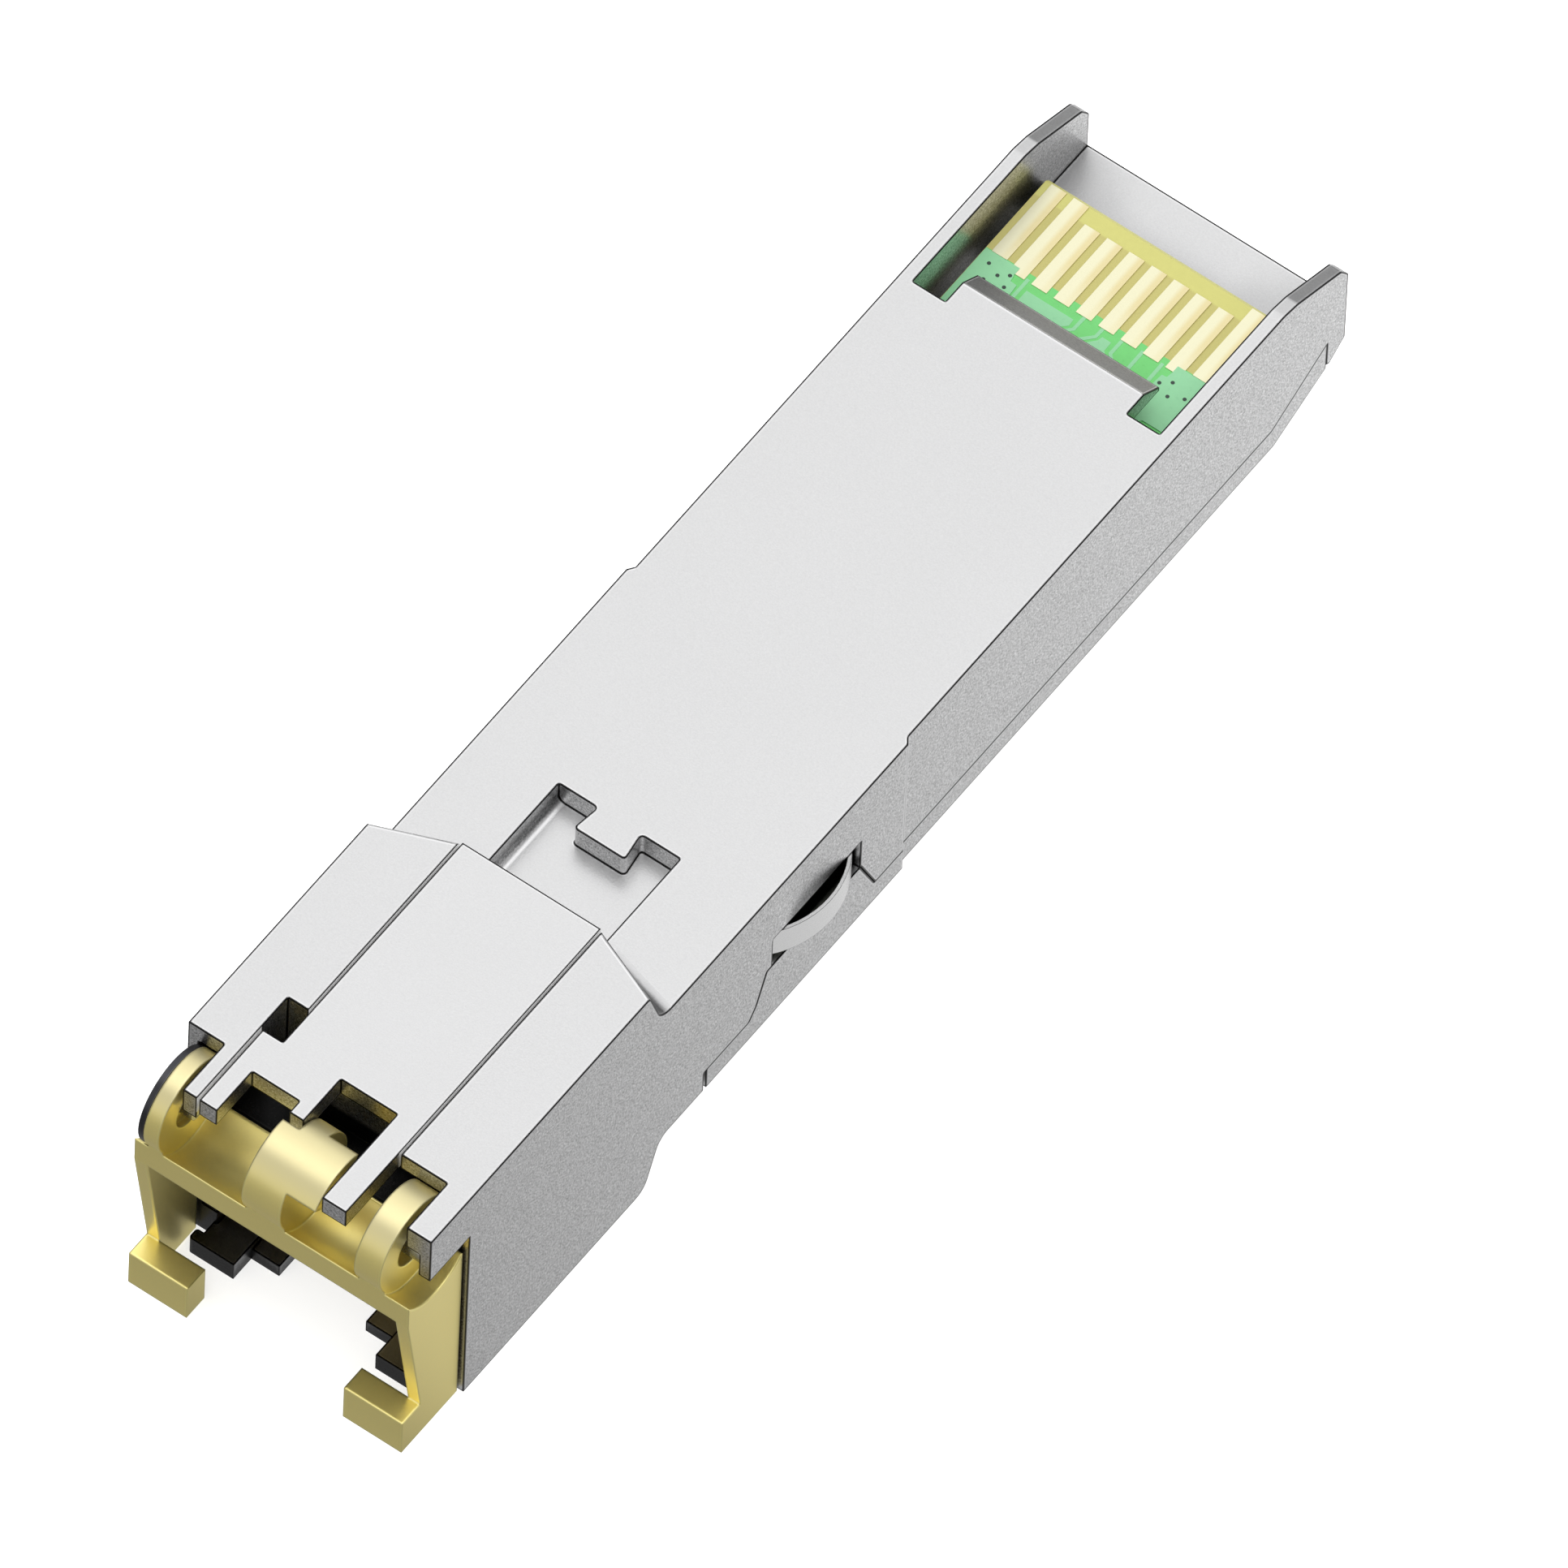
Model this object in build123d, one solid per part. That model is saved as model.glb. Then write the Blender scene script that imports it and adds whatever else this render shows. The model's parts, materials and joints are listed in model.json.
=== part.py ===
import os

from build123d import *

os.makedirs("parts", exist_ok=True)

# All lengths are millimetres. While a piece is drawn, x runs across the module,
# y runs from the socket end to the card-edge end with zero at the latch shoulder,
# and z is zero on the flat latch-side face and positive away from the board.

# Overall outline
front_half_width = 6.85
rear_half_width = 6.63
body_height = 8.65
width_step_y = 11.15
width_step_run = 0.3
body_rear_y = 40.84
nose_front_y = -17.75
nose_top_z = 2.4
nose_bottom_z = -11.15
nose_bottom_rear_y = -5.5
nose_corner_radius = 0.8
nose_foot_radius = 1.0
nose_crest_radius = 0.15
cover_joint_y = -2.05
parting_z = -7.4
cheek_inner_x = 3.0
cheek_crest_inner_y = -4.37
cheek_crest_outer_y = -6.0
cheek_foot_inner_y = cheek_crest_inner_y - 0.04
cheek_foot_outer_y = -4.97
cheek_foot_z = -0.5

# Walls
side_wall = 0.63
cavity_half_width = rear_half_width - side_wall
plate_thickness = 0.9
floor_thickness = 0.6

# Rear mouth around the card edge
mouth_front_y = 29.0
mouth_tongue_half = 4.42
mouth_tongue_y = 31.18
mouth_tongue_bevel_run = 1.03
mouth_tongue_bevel_drop = 0.7
rear_floor_z = -4.2
rear_bar_front_y = 38.3
ear_slope_y = 36.5
ear_rear_top_z = -2.0
ear_tip_radius = 0.35
ear_rear_low_z = -6.38
cover_rear_y = 39.62
cover_slope_y = 36.2
cover_rear_low_z = -7.2
cover_rear_top_z = -5.5

# Latch recess with its shoulder tongue
recess_half_width = 2.94
recess_rear_y = 1.38
recess_front_y = -8.6
recess_depth = 1.1
recess_corner_radius = 0.35
shoulder_front_y = 0.05
shoulder_half_front = 1.25
shoulder_half_root = 1.06
shoulder_corner_radius = 0.15

# Slider and its channel
slider_half_width = 3.35
slider_bottom_z = 1.42
slider_rear_y = -4.5
slider_gap = 0.1
slider_travel = 1.8
channel_floor_z = 1.3
slider_head_rear_y = -16.3
flange_reach = 0.57
flange_height = 0.35
flange_front_y = -14.2
flange_rear_y = -5.4
window_rear_y = slider_head_rear_y + slider_travel + 0.02
window_floor_z = -1.2
prong_front_y = -21.23
slider_notch_rear_y = -18.13
slider_notch_left_x = -3.48
slider_tooth = (-1.2, -0.52)
slider_tooth_front_y = -18.78
slider_opening_rear_y = -16.32
slider_opening_right_x = 2.2
tine_front_y = -8.0
tine_rear_y = -3.6
tine_low_z = -0.9

# Bail and its pivot
pivot_y = -19.56
pivot_z = 0.12
ear_radius = 2.22
scoop_radius = 2.28
bail_inset = 0.21
bail_half_width = front_half_width - bail_inset
bail_arm_thickness = 0.6
bar_front_y = -21.43
bar_top_z = -1.1
bar_bottom_z = -2.57
bail_rear_y = -17.9
foot_bottom_z = -11.1
foot_top_z = -9.1
foot_front_y = -21.55
foot_rear_y = -20.37
foot_inner_x = 3.8
right_ear = (bail_half_width - 2.44, bail_half_width - 1.19)
left_ear = (0.64 - bail_half_width, 1.35 - bail_half_width)
cam_disc = (-1.25, 0.6)
cam_fin_end = 2.0
cam_fin_thickness = 0.55
cam_fin_angles = (64, 145.6)
tooth_notch_angles = (79, -35)
tooth_notch_core = 0.95
left_tongue = (left_ear[1] + 0.17, left_ear[1] + 0.84)
slider_head_side = left_tongue[1] + slider_gap + 0.03
lug_front_y = -20.38
lug_width = 1.18
lug_bottom_z = 1.14
skirt_width = 0.54
skirt_bottom_z = -0.26
tongue_front_y = -20.45
tongue_bottom_z = 1.03
pocket_rear_y = -15.8
pocket_floor_z = -1.6
scoop_clearance = 0.08
retainer_radius = 2.2
retainer_gap = 0.03
retainer_thickness = 0.25
retainer = (left_ear[0] - retainer_gap - retainer_thickness, left_ear[0] - retainer_gap)
retainer_tail = (-0.9, 1.1)
retainer_tail_y = -15.2
rivet_head_radius = 0.85
rivet_head_height = 0.46
pin_radius = 0.5
pin_clearance = 0.05
eye_radius = 1.02

# Socket
front_wall = 0.95
port_half_width = front_half_width - front_wall
port_top_z = -2.75
port_ledge_z = -9.5
port_floor_z = -10.2
port_floor_half = port_half_width - 0.75
tab_half_width = 3.45
tab_slot_half = 2.1
tab_slot_rear_y = -13.9
lip_front_y = -18.95
lip_notch_y = -18.4
lip_outer_x = front_half_width - 1.2
chamber_half_width = port_half_width + 0.45
chamber_top_z = -2.2
chamber_floor_z = -10.5
chamber_rear_y = -6.3
frame_thickness = 0.6
fit_gap = 0.05
contact_pitch = 1.02
contact_thickness = 0.3

# Board and its card edge
board_side_gap = 0.44
board_half_width = cavity_half_width - board_side_gap
board_top_z = -2.3
board_thickness = 1.0
board_front_y = -2.8
board_rear_y = 37.57
pad_width = 0.74
pad_edge_gap = 0.3
pad_pitch = (2 * (board_half_width - pad_edge_gap) - pad_width) / 9
pad_thickness = 0.05
phy_height = 0.9
thermal_pad_thickness = 0.8
post_radius = 0.6
pad_front_y = 33.0
short_pad_rear_y = 36.6

# Side springs
slot_front_y = 2.35
slot_rear_y = 8.2
slot_top_z = -3.28
slot_bottom_z = -5.15
spring_reach = 0.68
spring_sheet = 0.15
spring_top_z = -3.33
spring_bottom_z = -4.83

# The finished frame has its origin below the middle of the outline, on the nose's underside.
middle_y = (pivot_y - ear_radius + body_rear_y) / 2


def block(x0, x1, y0, y1, z0, z1):
    centre = Pos((x0 + x1) / 2, (y0 + y1) / 2, (z0 + z1) / 2)
    return centre * Box(x1 - x0, y1 - y0, z1 - z0)


def side_shape(points, x0, x1):
    face = Plane.YZ.offset(x0) * make_face(Polyline(*points, close=True))
    return extrude(face, amount=x1 - x0)


def plan_shape(points, z0, z1):
    face = Plane.XY.offset(z0) * make_face(Polyline(*points, close=True))
    return extrude(face, amount=z1 - z0)


def cross_rod(x0, x1, y, z, radius):
    return Pos((x0 + x1) / 2, y, z) * Rot(0, 90, 0) * Cylinder(radius, x1 - x0)


def save(piece, name):
    placed = Pos(0, -middle_y, -nose_bottom_z) * piece
    export_step(placed, f"parts/{name}.step")


def body_plan(z0, z1, front_y):
    step_end = width_step_y + width_step_run
    outline = [
        (-front_half_width, front_y),
        (front_half_width, front_y),
        (front_half_width, width_step_y),
        (rear_half_width, step_end),
        (rear_half_width, body_rear_y),
        (-rear_half_width, body_rear_y),
        (-rear_half_width, step_end),
        (-front_half_width, width_step_y),
    ]
    return plan_shape(outline, z0, z1)


# The two halves of the case share one joint line, so both are cut with the same outline.
cover_line = [
    (cover_joint_y, parting_z),
    (cover_slope_y - 0.2, parting_z),
    (cover_rear_y, cover_rear_top_z),
]


def tab_shape(grow, x0, x1):
    points = [
        (0.95 - grow, parting_z),
        (1.4 - grow, -6.8),
        (2.05 - grow, slot_bottom_z + grow),
        (slot_rear_y + grow, slot_bottom_z + grow),
        (9.15 + grow, -7.2),
        (9.25 + grow, parting_z),
    ]
    return side_shape(points, x0, x1)


# Housing: a zinc casting with the nose, the flat latch face, both side walls and the rear ears.
def housing_body():
    outline = [
        (-8.0, 0.0),
        (ear_slope_y, 0.0),
        (ear_slope_y + 0.9, -0.18),
        (body_rear_y - 0.45, -1.38),
        (body_rear_y, ear_rear_top_z),
        (body_rear_y, ear_rear_low_z),
        (cover_rear_y + 0.23, cover_rear_low_z + 0.1),
        (cover_rear_y + 0.04, cover_rear_low_z + 0.2),
        (cover_rear_y + 0.04, cover_rear_top_z),
        cover_line[2],
        cover_line[1],
        cover_line[0],
        (cover_joint_y, -body_height),
        (-8.0, -body_height),
    ]
    face = Plane.YZ.offset(-front_half_width) * make_face(Polyline(*outline, close=True))
    slopes = [v for v in face.vertices() if ear_slope_y - 0.1 < v.Y < ear_slope_y + 1 and v.Z > -1]
    face = fillet(slopes, 0.8)
    tips = [v for v in face.vertices() if v.Y > body_rear_y - 0.6 and v.Z > ear_rear_top_z - 0.1]
    face = fillet(tips, ear_tip_radius)
    solid = extrude(face, amount=2 * front_half_width)
    return solid & body_plan(-body_height, 0, -8.0)


def nose_block():
    outline = [
        (nose_front_y, 0.0),
        (-3.0, 0.0),
        (-3.0, -body_height),
        (nose_bottom_rear_y + 0.6, -body_height),
        (nose_bottom_rear_y - 0.35, nose_bottom_z),
        (nose_front_y, nose_bottom_z),
    ]
    face = Plane.YZ.offset(-front_half_width) * make_face(Polyline(*outline, close=True))
    rounded = [v for v in face.vertices() if -7.0 < v.Y < -4.0 and v.Z < -8.0]
    face = fillet(rounded, nose_corner_radius)
    solid = extrude(face, amount=2 * front_half_width)
    return solid


def nose_cheek(side):
    # The raised top leans back to a slanted rear edge that runs out to the side.
    front = [(front_half_width, nose_front_y), (cheek_inner_x, nose_front_y)]
    top = [(cheek_inner_x, cheek_crest_inner_y), (front_half_width, cheek_crest_outer_y)] + front
    foot = [(cheek_inner_x, cheek_foot_inner_y), (front_half_width, cheek_foot_outer_y)] + front
    upper = Plane.XY.offset(nose_top_z) * make_face(Polyline(*top, close=True))
    lower = Plane.XY.offset(cheek_foot_z) * make_face(Polyline(*foot, close=True))
    cheek = loft([lower, upper], ruled=True)
    return cheek if side > 0 else mirror(cheek, Plane.YZ)


def foot_fillet(solid):
    # A soft inside corner where each leaning face meets the flat latch face.
    edges = []
    for edge in solid.edges():
        middle = edge.center()
        behind = cheek_crest_outer_y < middle.Y < cheek_foot_inner_y + 1.0
        outside = cheek_inner_x + 0.4 < abs(middle.X) < front_half_width - 0.05
        if abs(middle.Z) < 0.01 and behind and outside and edge.length > 2:
            edges.append(edge)
    solid = fillet(edges, nose_foot_radius)
    crests = []
    for edge in solid.edges():
        middle = edge.center()
        rear = cheek_crest_outer_y - 0.1 < middle.Y < cheek_crest_inner_y + 0.1
        high = abs(middle.Z - nose_top_z) < 0.01
        if high and rear and abs(middle.X) > cheek_inner_x + 0.5 and edge.length > 3:
            crests.append(edge)
    return fillet(crests, nose_crest_radius)


def lugs():
    rear = nose_front_y + 1
    inner_x = front_half_width - lug_width
    skirt_x = front_half_width - skirt_width
    right_top = block(inner_x, front_half_width, lug_front_y, rear, lug_bottom_z, nose_top_z)
    right_skirt = block(skirt_x, front_half_width, lug_front_y, rear, skirt_bottom_z, nose_top_z)
    left_top = block(left_tongue[0], left_tongue[1], tongue_front_y, rear, tongue_bottom_z, nose_top_z)
    return right_top + right_skirt + left_top


def lips():
    # The socket's lower lip reaches forward on both sides of the tab slot.
    low, high = nose_bottom_z, port_floor_z
    lip = block(tab_half_width, lip_outer_x - 0.35, lip_front_y, nose_front_y + 0.2, low, high)
    lip += block(lip_outer_x - 0.45, lip_outer_x, lip_front_y, lip_notch_y, low, high)
    corner = [e for e in lip.edges() if abs(e.center().X - lip_outer_x) < 0.01 and e.length < 1.0]
    rounded = [e for e in corner if abs(e.center().Z - (low + high) / 2) < 0.1]
    lip = fillet(rounded, 0.15)
    return lip + mirror(lip, Plane.YZ)


def latch_cuts():
    # The recess has rounded long corners and a tongue that reaches forward to the latch shoulder.
    section = [
        (-recess_half_width, -recess_depth),
        (recess_half_width, -recess_depth),
        (recess_half_width, nose_top_z),
        (-recess_half_width, nose_top_z),
    ]
    face = Plane.XZ.offset(-recess_rear_y) * make_face(Polyline(*section, close=True))
    low = [v for v in face.vertices() if v.Z < 0]
    face = fillet(low, recess_corner_radius)
    recess = extrude(face, amount=recess_rear_y - recess_front_y)
    wide = recess_half_width + 0.5
    tongue = [
        (-wide, recess_rear_y),
        (-shoulder_half_root, recess_rear_y),
        (-shoulder_half_front, shoulder_front_y),
        (shoulder_half_front, shoulder_front_y),
        (shoulder_half_root, recess_rear_y),
        (wide, recess_rear_y),
        (wide, recess_rear_y + 0.5),
        (-wide, recess_rear_y + 0.5),
    ]
    face = Plane.XY.offset(-recess_depth - 0.2) * make_face(Polyline(*tongue, close=True))
    corners = [v for v in face.vertices() if abs(v.X) < recess_half_width]
    face = fillet(corners, shoulder_corner_radius)
    return recess - extrude(face, amount=recess_depth + 0.2)


def channel_cuts():
    half = slider_half_width + slider_gap
    channel = block(-half, half, nose_front_y - 1, 0.5, channel_floor_z, 4)
    rear_clear = block(-half, half, -5.2, 0.5, 0, 4)
    head_side = left_tongue[1]
    head_room = block(head_side, -half + 0.1, nose_front_y - 1, window_rear_y, channel_floor_z, 4)
    window = block(head_side, -half + 0.1, slider_head_rear_y - 0.6, window_rear_y, window_floor_z, 4)
    groove = block(
        -half - flange_reach, half + flange_reach, flange_front_y - 0.08, 0.5, channel_floor_z,
        slider_bottom_z + flange_height + slider_gap
    )
    return channel + rear_clear + head_room + window + groove


def mechanism_pocket():
    front = nose_front_y - 1
    ceiling = channel_floor_z + 0.2
    left_rear_y = pivot_y + scoop_radius + scoop_clearance
    left_floor_z = pivot_z - scoop_radius - 0.03
    middle = block(left_ear[1] - 0.2, right_ear[1] + 0.15, front, pocket_rear_y, pocket_floor_z, ceiling)
    left = block(retainer[0] - 0.07, left_ear[1] + 0.15, front, left_rear_y, left_floor_z, ceiling)
    slot_front = left_rear_y - 0.1
    plate_slot = block(retainer[0], retainer[1], slot_front, retainer_tail_y, retainer_tail[0], retainer_tail[1])
    skirt_x = front_half_width - skirt_width
    pin_hole = cross_rod(skirt_x - 0.1, skirt_x + 0.29, pivot_y, pivot_z, pin_radius)
    return middle + left + plate_slot + pin_hole


def socket_cuts():
    front = nose_front_y - 1
    inside = nose_front_y + frame_thickness
    mouth = block(-port_half_width, port_half_width, front, inside, port_ledge_z, port_top_z)
    mouth += block(-port_floor_half, port_floor_half, front, inside, port_floor_z, port_ledge_z)
    mouth += block(-tab_half_width, tab_half_width, front, inside, chamber_floor_z, port_floor_z)
    slot = block(-tab_slot_half, tab_slot_half, front, tab_slot_rear_y, nose_bottom_z - 1, chamber_floor_z)
    chamber = block(
        -chamber_half_width, chamber_half_width, inside, chamber_rear_y, chamber_floor_z, chamber_top_z
    )
    return mouth + slot + chamber


def body_cavity():
    half = cavity_half_width
    under_recess = -recess_depth - 0.55
    floor_z = -body_height + floor_thickness
    front = block(-half, half, chamber_rear_y - 0.1, cover_joint_y, floor_z, under_recess)
    middle = block(-half, half, cover_joint_y - 0.1, 1.9, -9.5, under_recess)
    rear = block(-half, half, 1.9, rear_bar_front_y, -9.5, -plate_thickness)
    mouth = block(-half, half, mouth_front_y, body_rear_y + 1, rear_floor_z, 1)
    tongue = side_shape(
        [
            (mouth_front_y - 1, 0),
            (mouth_tongue_y - mouth_tongue_bevel_run, 0),
            (mouth_tongue_y, -mouth_tongue_bevel_drop),
            (mouth_tongue_y, -plate_thickness),
            (mouth_front_y - 1, -plate_thickness),
        ],
        -mouth_tongue_half,
        mouth_tongue_half,
    )
    return front + middle + rear + (mouth - tongue)


def side_windows():
    inner = cavity_half_width - 0.5
    outer = front_half_width + 0.5
    slot = block(inner, outer, slot_front_y, slot_rear_y, slot_bottom_z, slot_top_z)
    notch = tab_shape(fit_gap, inner, outer)
    cut = slot + notch
    return cut + mirror(cut, Plane.YZ)


board_posts = [(-4.9, 11.0), (4.9, 11.0), (-4.9, 28.0), (4.9, 28.0)]


def housing():
    solid = housing_body() + nose_block()
    solid += nose_cheek(1)
    solid += nose_cheek(-1)
    bridge = cheek_inner_x + 0.2
    solid += block(-bridge, bridge, nose_front_y, cheek_foot_inner_y - 0.8, cheek_foot_z, nose_top_z)
    solid = foot_fillet(solid)
    solid += lugs()
    solid += lips()
    solid -= body_cavity()
    solid -= socket_cuts()
    solid -= latch_cuts()
    solid -= channel_cuts()
    solid -= mechanism_pocket()
    solid -= side_windows()
    for x, y in board_posts:
        post_height = -plate_thickness - board_top_z
        solid += Pos(x, y, board_top_z + post_height / 2) * Cylinder(post_radius, post_height)
    return solid


# Cover: the tray that closes the other face, with a tab on each side below the spring.
def cover():
    outline = [
        (cover_joint_y + 0.2, parting_z),
        (cover_joint_y + 0.2, -body_height),
        (cover_slope_y, -body_height),
        (cover_rear_y, cover_rear_low_z),
        cover_line[2],
        cover_line[1],
    ]
    inside = [
        (cover_joint_y + 0.8, -5.0),
        (cover_joint_y + 0.8, -body_height + floor_thickness),
        (cover_slope_y - 0.15, -body_height + floor_thickness),
        (cover_rear_y - 0.75, cover_rear_low_z + 0.4),
        (cover_rear_y - 0.75, -5.0),
    ]
    tray = side_shape(outline, -front_half_width, front_half_width)
    tray &= body_plan(-body_height, 0, -8.0)
    tray -= side_shape(inside, -cavity_half_width, cavity_half_width)
    tab = tab_shape(0, cavity_half_width + fit_gap, front_half_width)
    tray += tab
    tray += mirror(tab, Plane.YZ)
    floor_z = -body_height + floor_thickness
    post_height = board_top_z - board_thickness - floor_z
    for x, y in board_posts:
        tray += Pos(x, y, floor_z + post_height / 2 - 0.15) * Cylinder(post_radius + 0.1, post_height + 0.3)
    pedestal_top = board_top_z - board_thickness - phy_height - thermal_pad_thickness
    tray += block(-4.1, 4.1, 12.9, 21.1, floor_z - 0.3, pedestal_top)
    return tray


# Slider: a flat plate that rides in the nose and frees the latch when the bail turns.
def slider():
    outline = [
        (-slider_half_width, slider_rear_y),
        (-slider_half_width, slider_head_rear_y),
        (slider_head_side, slider_head_rear_y),
        (slider_head_side, tongue_front_y),
        (slider_notch_left_x, tongue_front_y),
        (slider_notch_left_x, slider_notch_rear_y),
        (slider_tooth[0], slider_notch_rear_y),
        (slider_tooth[0], slider_tooth_front_y),
        (slider_tooth[1], slider_tooth_front_y),
        (slider_tooth[1], slider_opening_rear_y),
        (slider_opening_right_x, slider_opening_rear_y),
        (slider_opening_right_x, prong_front_y),
        (slider_half_width, prong_front_y),
        (slider_half_width, slider_rear_y),
    ]
    plate = plan_shape(outline, slider_bottom_z, nose_top_z)
    reach = slider_half_width + flange_reach
    flange_top_z = slider_bottom_z + flange_height
    flange = block(-reach, reach, flange_front_y, flange_rear_y, slider_bottom_z, flange_top_z)
    solid = plate + flange
    slope_y = tine_rear_y - 1.0
    tine = [
        (tine_front_y, slider_bottom_z),
        (tine_front_y, tine_low_z),
        (slope_y, tine_low_z),
        (tine_rear_y, tine_low_z + 1.0),
        (slope_y, slider_bottom_z),
    ]
    for x in (-2.85, 1.35):
        solid += side_shape(tine, x, x + 1.5)
    return solid


# Bail: one brass-coloured casting with a crossbar, two arms, two eyes and the cam.
def sector(radius, start, end, x0, x1):
    # A wedge about the pivot that reaches past the radius, for cutting and for the cam's fin.
    steps = 6
    points = [(pivot_y, pivot_z)]
    for i in range(steps + 1):
        angle = start + (end - start) * i / steps
        reach = Vector(radius, 0, 0).rotate(Axis.Z, angle)
        points.append((pivot_y + reach.X, pivot_z + reach.Y))
    return side_shape(points, x0, x1)


def bail():
    bar = block(-bail_half_width, bail_half_width, bar_front_y, bail_rear_y, bar_bottom_z, bar_top_z)
    edges = [-bail_half_width, left_ear[0], left_ear[1], cam_disc[0], cam_disc[1], *right_ear, bail_half_width]
    for i in range(0, 8, 2):
        bar -= cross_rod(edges[i], edges[i + 1], pivot_y, pivot_z, scoop_radius)
    arm_outline = [
        (bail_rear_y, bar_bottom_z + 0.3),
        (bail_rear_y, foot_bottom_z),
        (foot_rear_y - 0.1, foot_bottom_z),
        (foot_rear_y, foot_top_z),
        (bar_front_y, bar_bottom_z),
        (bar_front_y, bar_bottom_z + 0.3),
    ]
    inner = bail_half_width - bail_arm_thickness
    arm = side_shape(arm_outline, inner, bail_half_width)
    foot = block(foot_inner_x, bail_half_width, foot_front_y, foot_rear_y, foot_bottom_z, foot_top_z)
    solid = bar
    for piece in (arm, foot):
        solid += piece
        solid += mirror(piece, Plane.YZ)
    for x0, x1 in (left_ear, right_ear, cam_disc):
        solid += cross_rod(x0, x1, pivot_y, pivot_z, ear_radius)
    solid += cam_fin()
    solid -= tooth_notch()
    solid -= cross_rod(left_ear[0] - 0.1, left_ear[1] + 0.1, pivot_y, pivot_z, pin_radius + pin_clearance)
    solid -= cross_rod(left_ear[1] - 0.35, left_ear[1] + 0.1, pivot_y, pivot_z, eye_radius)
    solid -= cross_rod(right_ear[0] - 0.1, right_ear[1] + 0.1, pivot_y, pivot_z, pin_radius + pin_clearance)
    solid -= cross_rod(right_ear[1] - 0.6, right_ear[1] + 0.1, pivot_y, pivot_z, eye_radius)
    return solid


def cam_fin():
    ring = cross_rod(cam_disc[1], cam_fin_end, pivot_y, pivot_z, ear_radius)
    ring -= cross_rod(cam_disc[1], cam_fin_end, pivot_y, pivot_z, ear_radius - cam_fin_thickness)
    start, end = cam_fin_angles
    return ring & sector(ear_radius * 1.2, start, end, cam_disc[1] - 0.05, cam_fin_end)


def tooth_notch():
    start, end = tooth_notch_angles
    side = slider_tooth[1] + 0.07
    notch = sector(ear_radius * 1.2, start, end, cam_disc[0] - 0.1, side)
    return notch - cross_rod(cam_disc[0] - 0.2, side + 0.05, pivot_y, pivot_z, tooth_notch_core)


# Left pivot: a domed pin riveted through a thin round plate that is pressed into the nose.
def left_pin():
    outer_x = retainer[0] - rivet_head_height
    shank = cross_rod(retainer[0] - 0.1, left_ear[1] + 0.34, pivot_y, pivot_z, pin_radius)
    head = cross_rod(outer_x, retainer[0], pivot_y, pivot_z, rivet_head_radius)
    rim = [e for e in head.edges() if abs(e.center().X - outer_x) < 0.01]
    return shank + fillet(rim, 0.25)


def retainer_plate():
    plate = cross_rod(retainer[0], retainer[1], pivot_y, pivot_z, retainer_radius)
    plate += block(retainer[0], retainer[1], pivot_y, retainer_tail_y, retainer_tail[0], retainer_tail[1])
    return plate - cross_rod(retainer[0] - 0.1, retainer[1] + 0.1, pivot_y, pivot_z, pin_radius)


def right_pin():
    return cross_rod(right_ear[0] + 0.15, front_half_width - skirt_width + 0.29, pivot_y, pivot_z, pin_radius)


# Side spring: a bowed strip that touches the cage wall, with both feet inside the case.
def side_spring():
    foot_x = cavity_half_width - spring_sheet / 2
    apex = front_half_width + spring_reach - spring_sheet / 2
    middle = (slot_front_y + slot_rear_y) / 2
    run = (slot_rear_y - slot_front_y) / 2
    with BuildLine() as path:
        a = (foot_x, middle - run - 1.1)
        b = (foot_x, middle - run + 0.15)
        c = (foot_x, middle + run - 0.15)
        d = (foot_x, middle + run + 1.1)
        Line(a, b)
        start = (front_half_width - 0.35, middle - run + 0.25)
        end = (front_half_width - 0.35, middle + run - 0.25)
        Line(b, start)
        ThreePointArc(start, (apex, middle), end)
        Line(end, c)
        Line(c, d)
    strip = trace(path.line, spring_sheet)
    return extrude(Plane.XY.offset(spring_bottom_z) * strip, amount=spring_top_z - spring_bottom_z)


# Socket insert: a black moulding with the plug cavity, the tab channel and eight wire grooves.
def contact_centres():
    return [(i - 3.5) * contact_pitch for i in range(8)]


def jack_insulator():
    front = nose_front_y + frame_thickness + fit_gap
    rear = chamber_rear_y - fit_gap
    half = chamber_half_width - fit_gap
    solid = block(-half, half, front, rear, chamber_floor_z, chamber_top_z - fit_gap)
    solid -= block(-port_half_width, port_half_width, front - 1, rear - 0.85, port_ledge_z, port_top_z)
    solid -= block(-port_floor_half, port_floor_half, front - 1, tab_slot_rear_y, port_floor_z, port_ledge_z)
    solid -= block(-tab_half_width, tab_half_width, front - 1, tab_slot_rear_y, chamber_floor_z - 1, port_floor_z)
    for x in contact_centres():
        solid -= block(x - 0.24, x + 0.24, -15.9, rear + 1, port_top_z - 0.1, port_top_z + 0.35)
    return solid


def contact_carrier():
    low_z = -body_height + floor_thickness + 0.15
    half = cavity_half_width - 0.4
    outline = [(-2.9, board_top_z), (-5.0, board_top_z), (-6.3, -2.8), (-6.3, low_z), (-2.9, low_z)]
    return side_shape(outline, -half, half)


def jack_contacts():
    # Each wire rests on the board, runs forward in its groove and springs back down to meet the plug.
    t = contact_thickness
    top = port_top_z + 0.05
    outline = [
        (-1.2, board_top_z),
        (-1.2, board_top_z + t),
        (-5.1, board_top_z + t),
        (-6.6, top + t),
        (-15.3, top + t),
        (-15.75, top),
        (-9.4, -5.75),
        (-9.25, -5.5),
        (-15.0, top),
        (-6.5, top),
        (-5.0, board_top_z),
    ]
    wires = []
    for x in contact_centres():
        wires.append(side_shape(outline, x - 0.18, x + 0.18))
    return Compound(children=wires)


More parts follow.
